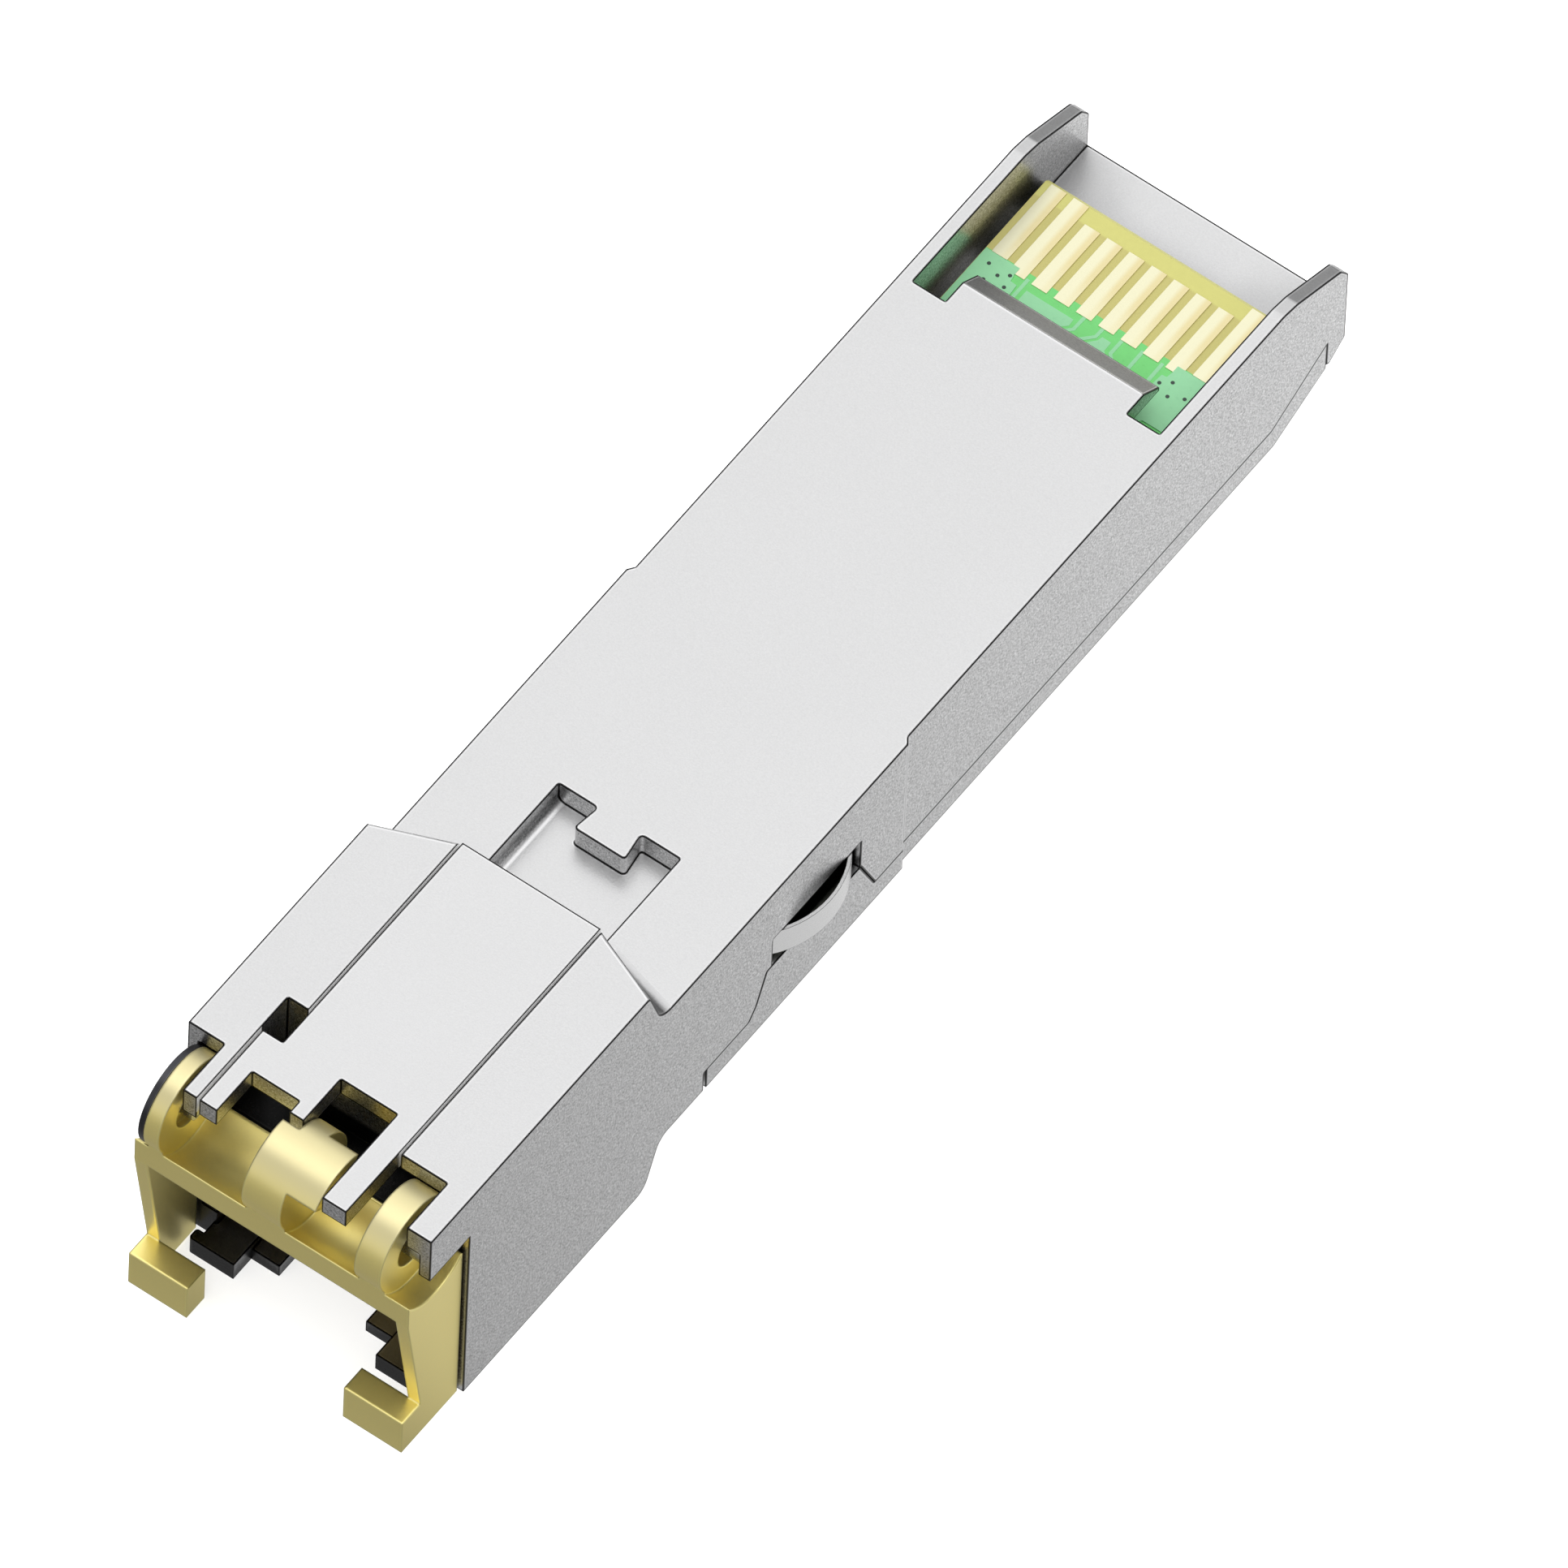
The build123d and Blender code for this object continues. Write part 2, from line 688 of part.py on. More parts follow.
# Board with the card edge
def main_board():
    board = block(
        -board_half_width, board_half_width, board_front_y, board_rear_y,
        board_top_z - board_thickness, board_top_z
    )
    bevel = [e for e in board.edges() if abs(e.center().Y - board_rear_y) < 0.01 and e.length > 5]
    return chamfer(bevel, 0.2)


def pad_row(z0, lower_side):
    pads = []
    for i in range(10):
        x = (i - 4.5) * pad_pitch
        y0 = pad_front_y + 0.35 if i in (0, 9) else pad_front_y
        reaches_edge = i in ((0, 3, 6, 9) if lower_side else (0, 1, 9))
        y1 = board_rear_y - 0.22 if reaches_edge else short_pad_rear_y
        pads.append(block(x - pad_width / 2, x + pad_width / 2, y0, y1, z0, z0 + pad_thickness))
    return Compound(children=pads)


def on_top(x, y, width, length, height):
    return block(x - width / 2, x + width / 2, y - length / 2, y + length / 2, board_top_z, board_top_z + height)


def below(x, y, width, length, height):
    z = board_top_z - board_thickness
    return block(x - width / 2, x + width / 2, y - length / 2, y + length / 2, z - height, z)


def chip_row(places, width, length, height):
    return Compound(children=[on_top(x, y, width, length, height) for x, y in places])


save(housing(), "housing")
save(cover(), "cover")
save(slider(), "latch_slider")
save(bail(), "bail")
save(left_pin(), "pivot_pin_left")
save(retainer_plate(), "pivot_retainer_plate")
save(right_pin(), "pivot_pin_right")
save(side_spring(), "ground_spring_right")
save(mirror(side_spring(), Plane.YZ), "ground_spring_left")
save(jack_insulator(), "jack_insulator")
save(contact_carrier(), "contact_carrier")
save(jack_contacts(), "jack_contacts")
save(main_board(), "main_board")
save(pad_row(board_top_z, False), "edge_pads_latch_side")
save(pad_row(board_top_z - board_thickness - pad_thickness, True), "edge_pads_cover_side")
save(below(0, 17, 8, 8, phy_height), "phy_chip")
thermal_z = board_top_z - board_thickness - phy_height
save(block(-3.8, 3.8, 13.2, 20.8, thermal_z - thermal_pad_thickness, thermal_z), "thermal_pad")
save(below(0, 5, 8.6, 8.4, 3.0), "magnetics_module")
save(below(2.6, 24.6, 3.2, 3.2, 1.6), "power_inductor")
save(on_top(2.2, 14.0, 3.2, 2.5, 0.7), "crystal_can")
save(on_top(-2.2, 18.5, 3.0, 3.0, 0.8), "memory_chip")
save(chip_row([(-3.2, 8), (-1.2, 8), (1.0, 22), (3.0, 22), (-3.0, 25), (0.4, 26)], 0.8, 1.6, 0.8), "capacitors")
save(chip_row([(2.4, 8), (3.8, 8), (-3.6, 13), (-1.2, 13.2), (3.4, 18), (-1.0, 22.6)], 0.5, 1.0, 0.35), "resistors")
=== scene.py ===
# %% [markdown]
# # A copper network module, dressed around its CAD frame
# The module is a small die-cast box: a socket and a gold bail at the front, a circuit board
# edge at the rear. Its hard shapes are already right in the frame, so this lesson gives them
# their finishes, adds what is too thin to be a solid of its own, and lights the whole as in
# a studio. Everything is in metres, in the frame's own axes.

import json
import math

import bmesh
import bpy
from mathutils import Matrix, Vector


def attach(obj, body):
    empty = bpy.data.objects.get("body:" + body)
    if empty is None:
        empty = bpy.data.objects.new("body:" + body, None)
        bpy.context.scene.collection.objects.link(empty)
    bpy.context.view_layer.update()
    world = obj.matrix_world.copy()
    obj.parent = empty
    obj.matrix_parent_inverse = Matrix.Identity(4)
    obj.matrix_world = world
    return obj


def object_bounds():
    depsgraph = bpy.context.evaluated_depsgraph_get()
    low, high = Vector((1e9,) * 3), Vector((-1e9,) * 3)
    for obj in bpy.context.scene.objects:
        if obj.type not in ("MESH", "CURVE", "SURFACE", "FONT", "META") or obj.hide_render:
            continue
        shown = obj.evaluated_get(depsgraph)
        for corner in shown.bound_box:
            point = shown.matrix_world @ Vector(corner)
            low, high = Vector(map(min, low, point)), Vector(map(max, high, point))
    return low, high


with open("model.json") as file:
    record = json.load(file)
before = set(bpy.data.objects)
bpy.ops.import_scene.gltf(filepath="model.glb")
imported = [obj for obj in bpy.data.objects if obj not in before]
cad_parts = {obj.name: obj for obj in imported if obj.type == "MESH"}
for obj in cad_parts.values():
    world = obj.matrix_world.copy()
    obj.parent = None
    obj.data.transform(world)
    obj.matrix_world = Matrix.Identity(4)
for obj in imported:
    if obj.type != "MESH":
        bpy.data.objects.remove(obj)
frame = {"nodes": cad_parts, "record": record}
cad_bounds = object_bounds()
nodes = frame["nodes"]

# %% [markdown]
# ## Working in the drawing's millimetres
# The drawing of the module measures from the latch shoulder and from the flat latch face.
# One small helper turns such a millimetre point into a point of the frame, so every size
# below can be checked with a ruler.

# %% Drawing lengths to frame lengths
MM = 0.001
SHOULDER_Y = -9.53
LATCH_FACE_Z = 11.15


def at(x, y, z):
    return Vector((x * MM, (y + SHOULDER_Y) * MM, (z + LATCH_FACE_Z) * MM))


print("latch shoulder at", tuple(round(v, 5) for v in at(0, 0, 0)))

# %% [markdown]
# ## The camera
# The picture has no vanishing points that can be found, so it was taken from far away with
# a long lens. A camera 2.9 m off with a matching lens does the same, and keeps a little
# true perspective. Its three axes come from the azimuth, the elevation and a slight roll. The
# colours are shown plainly, without a film curve, because the picture is a clean product shot.

# %% Place the camera
AZIMUTH = math.radians(33.965)
ELEVATION = math.radians(55.846)
ROLL = math.radians(2.778)
CAMERA_DISTANCE = 2.9
SENSOR_WIDTH_MM = 36
NEAREST_SEEN, FARTHEST_SEEN = 0.1, 50
PICTURE_WIDTH = 61.431 * MM
PICTURE_CENTRE_RIGHT = 1.738 * MM
PICTURE_CENTRE_UP = -1.654 * MM
MODULE_MIDDLE = at(0, 9.5, -4)

back = Vector((
    math.sin(AZIMUTH) * math.cos(ELEVATION),
    -math.cos(AZIMUTH) * math.cos(ELEVATION),
    math.sin(ELEVATION),
))
level_right = Vector((math.cos(AZIMUTH), math.sin(AZIMUTH), 0))
level_up = back.cross(level_right)
right = math.cos(ROLL) * level_right + math.sin(ROLL) * level_up
up = -math.sin(ROLL) * level_right + math.cos(ROLL) * level_up

camera_data = bpy.data.cameras.new("camera")
camera_data.sensor_width = SENSOR_WIDTH_MM
camera_data.lens = SENSOR_WIDTH_MM * CAMERA_DISTANCE / PICTURE_WIDTH
camera_data.clip_start = NEAREST_SEEN
camera_data.clip_end = FARTHEST_SEEN
camera = bpy.data.objects.new("camera", camera_data)
bpy.context.scene.collection.objects.link(camera)
place = MODULE_MIDDLE + PICTURE_CENTRE_RIGHT * right + PICTURE_CENTRE_UP * up + CAMERA_DISTANCE * back
camera.matrix_world = Matrix.Translation(place) @ Matrix((right, up, back)).transposed().to_4x4()
bpy.context.scene.camera = camera
bpy.context.scene.view_settings.view_transform = "Standard"
print("lens in mm:", round(camera_data.lens))

# %% [markdown]
# ## Building shader trees
# A material is a small machine of nodes. These helpers keep each step to one line. `add` makes
# a node and fills in its inputs, with a number or with a link. `combine` does one step of
# arithmetic and `ramp` turns one range of values into another. `axes` gives the x, y and z of a
# point or of a normal, `paint_over` lays a colour over a finish through a mask, and
# `start_group` begins a group of nodes whose sockets have names.

# %% Node helpers
FLOAT, VECTOR = "NodeSocketFloat", "NodeSocketVector"


def add(tree, kind, inputs=None, **settings):
    node = tree.nodes.new(kind)
    for key, value in settings.items():
        setattr(node, key, value)
    for key, value in (inputs or {}).items():
        if isinstance(value, bpy.types.NodeSocket):
            tree.links.new(value, node.inputs[key])
        else:
            node.inputs[key].default_value = value
    return node


def combine(tree, operation, *values):
    return add(tree, "ShaderNodeMath", dict(enumerate(values)), operation=operation).outputs[0]


def ramp(tree, value, start, end, low=0.0, high=1.0, smooth=False):
    return add(tree, "ShaderNodeMapRange", {
        "Value": value, "From Min": start, "From Max": end, "To Min": low, "To Max": high},
        interpolation_type="SMOOTHSTEP" if smooth else "LINEAR").outputs[0]


def axes(tree, kind):
    coords = add(tree, "ShaderNodeTexCoord").outputs[kind]
    return add(tree, "ShaderNodeSeparateXYZ", {0: coords}).outputs


def mix_colors(tree, factor, first, second):
    first, second = [
        color if isinstance(color, bpy.types.NodeSocket) else (*color, 1) for color in (first, second)]
    return add(tree, "ShaderNodeMix", {0: factor, 6: first, 7: second}, data_type="RGBA").outputs[2]


def paint_over(material, mask, color):
    tree = material.node_tree
    base = tree.nodes["Principled BSDF"].inputs["Base Color"]
    tree.links.new(mix_colors(tree, mask, base.links[0].from_socket, color), base)


def start_group(name, inputs, outputs):
    tree = bpy.data.node_groups.new(name, "ShaderNodeTree")
    for label, value in inputs.items():
        tree.interface.new_socket(label, in_out="INPUT", socket_type=FLOAT).default_value = value
    for label, kind in outputs.items():
        tree.interface.new_socket(label, in_out="OUTPUT", socket_type=kind)
    return tree, tree.nodes.new("NodeGroupInput").outputs, tree.nodes.new("NodeGroupOutput").inputs


# %% [markdown]
# ## Grain, and a painted shade on rearward slopes
# Blasted and plated castings have a grain that can be seen only up close: pale and dark
# specks about a tenth of a millimetre wide, over slow cloudy changes. Two noise textures give
# both. Noise fades out on a face that lies in one of its grid planes, so both are turned askew.
# The flat faces look smoother than the cast sides, so their specks can be given a smaller share. The slopes
# that face rearward look darker in the light, so a painted shade gives them a darker tone. The group puts
# out a value around one, grain and painted slope shade together, to multiply a colour with, and a height
# for a bump.

# %% The grain group, with its painted slope shade
ASKEW = (0.6, 0.4, 0.3)
SPECK_DETAIL, SPECK_ROUGHNESS = 2.0, 0.6
CLOUD_SCALE, CLOUD_DETAIL = 180.0, 3.0
NOISE_MIDDLE = 0.5
LEVEL_FACES = (0.6, 0.95)
REAR_SLOPES = (0.25, 0.5)

grain_and_slope_shade, g_in, g_out = start_group(
    "plated_grain_and_slope_shade",
    {"Speck Size mm": 0.1, "Speck Contrast": 0.1, "Cloud Contrast": 0.05, "Flat Face Share": 1.0,
     "Painted Slope Shade": 1.0},
    {"Factor": FLOAT, "Height": FLOAT},
)
facing = axes(grain_and_slope_shade, "Normal")
coords = add(grain_and_slope_shade, "ShaderNodeTexCoord").outputs["Object"]
turned_place = add(grain_and_slope_shade, "ShaderNodeMapping", {"Vector": coords, "Rotation": ASKEW}).outputs[0]
specks = add(grain_and_slope_shade, "ShaderNodeTexNoise", {
    "Vector": turned_place, "Scale": combine(grain_and_slope_shade, "DIVIDE", 1.0 / MM, g_in["Speck Size mm"]),
    "Detail": SPECK_DETAIL, "Roughness": SPECK_ROUGHNESS}).outputs[0]
clouds = add(grain_and_slope_shade, "ShaderNodeTexNoise", {
    "Vector": turned_place, "Scale": CLOUD_SCALE, "Detail": CLOUD_DETAIL}).outputs[0]
share = ramp(grain_and_slope_shade, combine(grain_and_slope_shade, "ABSOLUTE", facing["Z"]), *LEVEL_FACES, 1.0, g_in["Flat Face Share"])
speck_contrast = combine(grain_and_slope_shade, "MULTIPLY", g_in["Speck Contrast"], share)
speck_offset = combine(grain_and_slope_shade, "SUBTRACT", specks, NOISE_MIDDLE)
cloud_offset = combine(grain_and_slope_shade, "SUBTRACT", clouds, NOISE_MIDDLE)
speck_part = combine(grain_and_slope_shade, "MULTIPLY_ADD", speck_offset, speck_contrast, 1.0)
both_parts = combine(grain_and_slope_shade, "MULTIPLY_ADD", cloud_offset, g_in["Cloud Contrast"], speck_part)
# Painted shade: slopes whose normal points rearward get a darker tone.
painted_slope_shade = ramp(grain_and_slope_shade, facing["Y"], *REAR_SLOPES, 1.0, g_in["Painted Slope Shade"])
grain_and_slope_shade.links.new(combine(grain_and_slope_shade, "MULTIPLY", both_parts, painted_slope_shade), g_out["Factor"])
grain_and_slope_shade.links.new(specks, g_out["Height"])
print("group:", grain_and_slope_shade.name)

# %% [markdown]
# ## Soft edges, painted as shade and highlight lines
# No cast edge is sharp. Where two faces meet, the plating turns over a tiny radius that shows in the light
# as a dark line with a light one beside it. Rounding every edge of the mesh would cost many faces, so the
# bevel node bends the normals instead. How far it bends them tells the distance from the edge: much is the
# dark line, a little is the light one. Both lines are painted into the colour, the dark one as painted
# shade and the light one as a painted highlight. The bent normals themselves shade only the finishes with
# soft edges.

# %% The edge group
EDGE_SAMPLES = 16
DARK_LINE_AGREEMENT = (0.985, 0.945)
LIGHT_LINE_AGREEMENT = (0.9992, 0.997)

edges, e_in, e_out = start_group(
    "edge_turn", {"Radius mm": 0.1}, {"Dark": FLOAT, "Light": FLOAT, "Normal": VECTOR})
radius = combine(edges, "MULTIPLY", e_in["Radius mm"], MM)
bent = add(edges, "ShaderNodeBevel", {"Radius": radius}, samples=EDGE_SAMPLES).outputs[0]
straight = add(edges, "ShaderNodeNewGeometry").outputs["Normal"]
agreement = add(edges, "ShaderNodeVectorMath", {0: bent, 1: straight}, operation="DOT_PRODUCT")
# The dark line is painted shade and the light line a painted highlight. Both are mixed into the colour.
for label, limits in (("Dark", DARK_LINE_AGREEMENT), ("Light", LIGHT_LINE_AGREEMENT)):
    edges.links.new(ramp(edges, agreement.outputs["Value"], *limits), e_out[label])
edges.links.new(bent, e_out["Normal"])
print("group:", edges.name)

# %% [markdown]
# ## Deep places
# The pockets around the bail are narrow and deep, and the picture shows them nearly black.
# The ambient occlusion node measures how much of the surroundings a point can see, and little
# sight makes the shade. Shallow places stay bright: the nose's notches down to 0.55 mm below the
# latch face and the whole latch recess are left out, and so are the outer sides and the
# underside, which only see the floor. The open bay at the board edge keeps a quarter of the shade.

# %% The shade group
SHADE_REACH_MM = 4.0
SHADE_SAMPLES = 8
LITTLE_SIGHT, FULL_SIGHT = 0.52, 0.82
NOSE_END_Y, NOSE_BRIGHT_Z = -8, -0.55
RECESS_START_Y, RECESS_BRIGHT_Z = -6, -1.35
SHALLOW_FADE = (-0.25 * MM, 0.05 * MM)
OUTER_SIDES = (6.5 * MM, 6.65 * MM)
BAY_START_Y, BAY_FULL_Y, BAY_LEFT_OUT = 28, 30, 0.75
FACING_DOWN = (-0.2, -0.5)
UNDERSIDE_HEIGHT = (5.0 * MM, 4.0 * MM)

shade, s_in, s_out = start_group(
    "deep_shade", {"Reach mm": SHADE_REACH_MM, "Darkest": 0.1}, {"Factor": FLOAT})
point, facing = axes(shade, "Object"), axes(shade, "Normal")
reach = combine(shade, "MULTIPLY", s_in["Reach mm"], MM)
sight = add(shade, "ShaderNodeAmbientOcclusion", {"Distance": reach}, samples=SHADE_SAMPLES).outputs["AO"]
# This shade is painted: the finishes multiply their base colour by it.
shaded = ramp(shade, sight, LITTLE_SIGHT, FULL_SIGHT, s_in["Darkest"], 1.0)
bright_down_to = ramp(shade, point["Y"], at(0, NOSE_END_Y, 0).y, at(0, RECESS_START_Y, 0).y,
                      at(0, 0, NOSE_BRIGHT_Z).z, at(0, 0, RECESS_BRIGHT_Z).z)
shallow = ramp(shade, combine(shade, "SUBTRACT", point["Z"], bright_down_to), *SHALLOW_FADE)
outer = ramp(shade, combine(shade, "ABSOLUTE", point["X"]), *OUTER_SIDES)
open_bay = ramp(shade, point["Y"], at(0, BAY_START_Y, 0).y, at(0, BAY_FULL_Y, 0).y, 0.0, BAY_LEFT_OUT)
down = ramp(shade, facing["Z"], *FACING_DOWN)
low_down = ramp(shade, point["Z"], *UNDERSIDE_HEIGHT)
underside = combine(shade, "MULTIPLY", down, low_down)
for left_out in (shallow, outer, open_bay, underside):
    shaded = combine(shade, "MAXIMUM", shaded, left_out)
shade.links.new(shaded, s_out["Factor"])
print("group:", shade.name)

# %% [markdown]
# ## One recipe for hard finishes
# Plated zinc, brass-coloured plate, bright steel and black moulding differ only in numbers: colour, how
# metallic and how rough they are, how strong the grain is, how dark their painted shade lines at the edges
# are and how pale their painted highlight lines, and how much painted shade they take in deep places and on
# rearward slopes. So one function builds them all, and each keeps its constant values on the shader's own
# sockets.

# %% The recipe
HEIGHT_RANGE = (0.3, 0.7)
ROUGH_CHANGE = 0.06
RELIEF_DEPTH = 0.05 * MM


def hard_finish(name, color, painted_edge_shade, metallic, roughness, speck_mm=0.1, speck=0.1, cloud=0.05,
                edge_mm=0.1, painted_edge_highlight=1.0, bump=0.0, darkest=1.0, soft_edges=False, flat_share=1.0,
                painted_slope_shade=1.0, shine=0.5):
    material = bpy.data.materials.new(name)
    material.use_nodes = True
    tree = material.node_tree
    shader = tree.nodes["Principled BSDF"].inputs
    grain_and_slope_shade_outputs = add(tree, "ShaderNodeGroup", {
        "Speck Size mm": speck_mm, "Speck Contrast": speck, "Cloud Contrast": cloud,
        "Flat Face Share": flat_share, "Painted Slope Shade": painted_slope_shade}, node_tree=grain_and_slope_shade).outputs
    turns = add(tree, "ShaderNodeGroup", {"Radius mm": edge_mm}, node_tree=edges).outputs
    # The tone is the grain with its painted slope shade. Finishes with a darkest value below one also take
    # the painted shade of deep places, which darkens their colour and their painted highlight line.
    grain_and_shade, light = grain_and_slope_shade_outputs["Factor"], turns["Light"]
    if darkest < 1.0:
        shades = add(tree, "ShaderNodeGroup", {"Darkest": darkest}, node_tree=shade).outputs[0]
        grain_and_shade, light = combine(tree, "MULTIPLY", grain_and_shade, shades), combine(tree, "MULTIPLY", light, shades)
    speckled_and_shaded = add(tree, "ShaderNodeVectorMath", {0: color, "Scale": grain_and_shade}, operation="SCALE").outputs[0]
    # The light edge line, a painted highlight, is the colour made paler. The dark edge line is painted
    # shade.
    pale = [min(1.0, value * painted_edge_highlight) for value in color]
    lightened = mix_colors(tree, light, speckled_and_shaded, pale)
    tree.links.new(mix_colors(tree, turns["Dark"], lightened, painted_edge_shade), shader["Base Color"])
    shader["Metallic"].default_value = metallic
    shader["Specular IOR Level"].default_value = shine
    smoothest, roughest = roughness - ROUGH_CHANGE / 2, roughness + ROUGH_CHANGE / 2
    tree.links.new(ramp(tree, grain_and_slope_shade_outputs["Height"], *HEIGHT_RANGE, smoothest, roughest), shader["Roughness"])
    relief = add(tree, "ShaderNodeBump", {
        "Height": grain_and_slope_shade_outputs["Height"], "Strength": bump, "Distance": RELIEF_DEPTH})
    if soft_edges:
        tree.links.new(turns["Normal"], relief.inputs["Normal"])
    tree.links.new(relief.outputs[0], shader["Normal"])
    return material


# %% [markdown]
# ## The finishes
# The case is satin nickel over die-cast zinc: pale, hardly reflecting, with specks on its
# sides. The bail has a brass-coloured plate that shines more. The hidden steel parts and the
# mouldings follow the same recipe with other numbers.

# %% Mix the finishes
# These finishes paint shade and highlight lines at their edges, and they paint shade into deep places.
SATIN = dict(painted_edge_shade=(0.01, 0.01, 0.01), metallic=1.0, roughness=0.33, speck_mm=0.08, speck=2.6,
             cloud=0.03, painted_edge_highlight=1.3, bump=0.1, darkest=0.03)
RECIPES = {
    # The case's rearward slopes take a painted shade, down to 0.55 of their colour.
    "satin_case": dict(SATIN, color=(0.53, 0.53, 0.533), flat_share=0.08, edge_mm=0.20, painted_slope_shade=0.55),
    "satin_slider": dict(SATIN, color=(0.54, 0.54, 0.543), flat_share=0.06, edge_mm=0.18),
    "gold_bail": dict(color=(0.95, 0.82, 0.31), painted_edge_shade=(0.95, 0.83, 0.34), metallic=0.84, roughness=0.38,
                      speck_mm=0.10, speck=0.06, cloud=0.04, edge_mm=0.15, painted_edge_highlight=1.1, soft_edges=True),
    "dark_steel": dict(color=(0.05, 0.05, 0.055), painted_edge_shade=(0.12, 0.12, 0.12), metallic=0.9,
                       roughness=0.30, speck=0.2, edge_mm=0.05),
    "pin_steel": dict(color=(0.45, 0.46, 0.48), painted_edge_shade=(0.25, 0.25, 0.26), metallic=1.0,
                      roughness=0.28, speck=0.1, edge_mm=0.06),
    "spring_steel": dict(color=(0.72, 0.72, 0.72), painted_edge_shade=(0.10, 0.10, 0.10), metallic=1.0,
                         roughness=0.26, speck=0.15, edge_mm=0.04),
    "black_moulding": dict(color=(0.012, 0.012, 0.013), painted_edge_shade=(0.03, 0.03, 0.031), metallic=0.0,
                           roughness=0.40, speck=0.3, edge_mm=0.06, bump=0.1),
    "contact_gold": dict(color=(0.83, 0.62, 0.22), painted_edge_shade=(0.60, 0.44, 0.16), metallic=1.0,
                         roughness=0.22, speck=0.05, edge_mm=0.03),
    "pad_gold": dict(color=(0.67, 0.65, 0.46), painted_edge_shade=(0.60, 0.56, 0.36), metallic=1.0,
                     roughness=0.33, speck_mm=0.2, speck=0.02, cloud=0.04, edge_mm=0.02),
    "board_laminate": dict(color=(0.65, 0.63, 0.21), painted_edge_shade=(0.55, 0.50, 0.16), metallic=0.0,
                           roughness=0.35, speck_mm=0.25, speck=0.08, cloud=0.05, edge_mm=0.04,
                           shine=0.15),
    "chip_black": dict(color=(0.03, 0.03, 0.032), painted_edge_shade=(0.05, 0.05, 0.052), metallic=0.0,
                       roughness=0.55, speck=0.3),
    "crystal_metal": dict(color=(0.60, 0.60, 0.60), painted_edge_shade=(0.35, 0.35, 0.35), metallic=0.9,
                          roughness=0.25),
    "ferrite_grey": dict(color=(0.10, 0.10, 0.11), painted_edge_shade=(0.16, 0.16, 0.17), metallic=0.0,
                         roughness=0.6, speck=0.4),
    "ceramic_tan": dict(color=(0.42, 0.30, 0.19), painted_edge_shade=(0.50, 0.48, 0.45), metallic=0.0,
                        roughness=0.35),
    "pad_grey": dict(color=(0.42, 0.45, 0.50), painted_edge_shade=(0.36, 0.38, 0.42), metallic=0.0,
                     roughness=0.8, speck=0.2),
}
finishes = {name: hard_finish(name, **recipe) for name, recipe in RECIPES.items()}
print("finishes:", len(finishes))

# %% [markdown]
# ## Painted highlight on the flanks beside the slider
# The slider's flanks, and the casting's beside them, are a tenth of a millimetre apart. The flanks are made
# non-metallic and painted nearly white, a painted highlight that keeps the narrow seams from going black
# and shows them as a grey line. Three boxes, one for each straight seam, tell which faces these are. Each
# box is written as its left, right, front and rear ends.

# %% Paint the flanks pale and non-metallic
SEAM_BOXES = [(-4.50, -4.27, -20.6, -16.2), (-3.47, -3.30, -16.4, -4.4), (3.30, 3.47, -17.75, -4.4)]
FLANK_FOOT_Z = 1.42
FLANK_FACING = 0.7
FLANK_HIGHLIGHT_COLOR = (0.95, 0.95, 0.95)


def mask_of_seam(tree, x0, x1, y0, y1):
    point, facing = axes(tree, "Object"), axes(tree, "Normal")
    low, high = at(x0, y0, FLANK_FOOT_Z), at(x1, y1, 0)
    mask = combine(tree, "GREATER_THAN", combine(tree, "ABSOLUTE", facing["X"]), FLANK_FACING)
    for axis, operation, limit in (
        ("Z", "GREATER_THAN", low.z),
        ("X", "GREATER_THAN", low.x), ("X", "LESS_THAN", high.x),
        ("Y", "GREATER_THAN", low.y), ("Y", "LESS_THAN", high.y),
    ):
        mask = combine(tree, "MULTIPLY", mask, combine(tree, operation, point[axis], limit))
    return mask


for name in ("satin_case", "satin_slider"):
    tree = finishes[name].node_tree
    in_seams, *others = [mask_of_seam(tree, *box) for box in SEAM_BOXES]
    for mask in others:
        in_seams = combine(tree, "MAXIMUM", in_seams, mask)
    # Painted highlight: the flanks in the seams are painted nearly white.
    paint_over(finishes[name], in_seams, FLANK_HIGHLIGHT_COLOR)
    metal = combine(tree, "SUBTRACT", RECIPES[name]["metallic"], in_seams)
    tree.links.new(metal, tree.nodes["Principled BSDF"].inputs["Metallic"])
print("seams with matt flanks:", len(SEAM_BOXES))

# %% [markdown]
# ## Painted highlight on the bail's crowns
# The bail's upper rounds face up into the light and look paler than its sides and its scoops, so a paler
# colour is painted on them as a highlight. The object's own normal and height tell which faces these are,
# and both turn with the bail.

# %% Paint the crowns paler
CROWN_FACING = (0.35, 0.9)
CROWN_START_Z, CROWN_FULL_Z = 0.2, 1.2
CROWN_HIGHLIGHT_COLOR = (0.68, 0.61, 0.34)

tree = finishes["gold_bail"].node_tree
crown = ramp(tree, axes(tree, "Normal")["Z"], *CROWN_FACING, smooth=True)
raised = ramp(tree, axes(tree, "Object")["Z"], at(0, 0, CROWN_START_Z).z, at(0, 0, CROWN_FULL_Z).z)
# Painted highlight: the upward-facing upper rounds are painted paler.
paint_over(finishes["gold_bail"], combine(tree, "MULTIPLY", crown, raised), CROWN_HIGHLIGHT_COLOR)
print("burnished:", finishes["gold_bail"].name)

# %% [markdown]
# ## A painted sheen across the pads
# The picture shows a beige band along one side of each pad, as a thin mirror of gold shows when
# it isn't quite flat. The pads lie at an even pitch, so the remainder of x over the pitch tells
# the place across a pad, and two ramps turn that into the band.

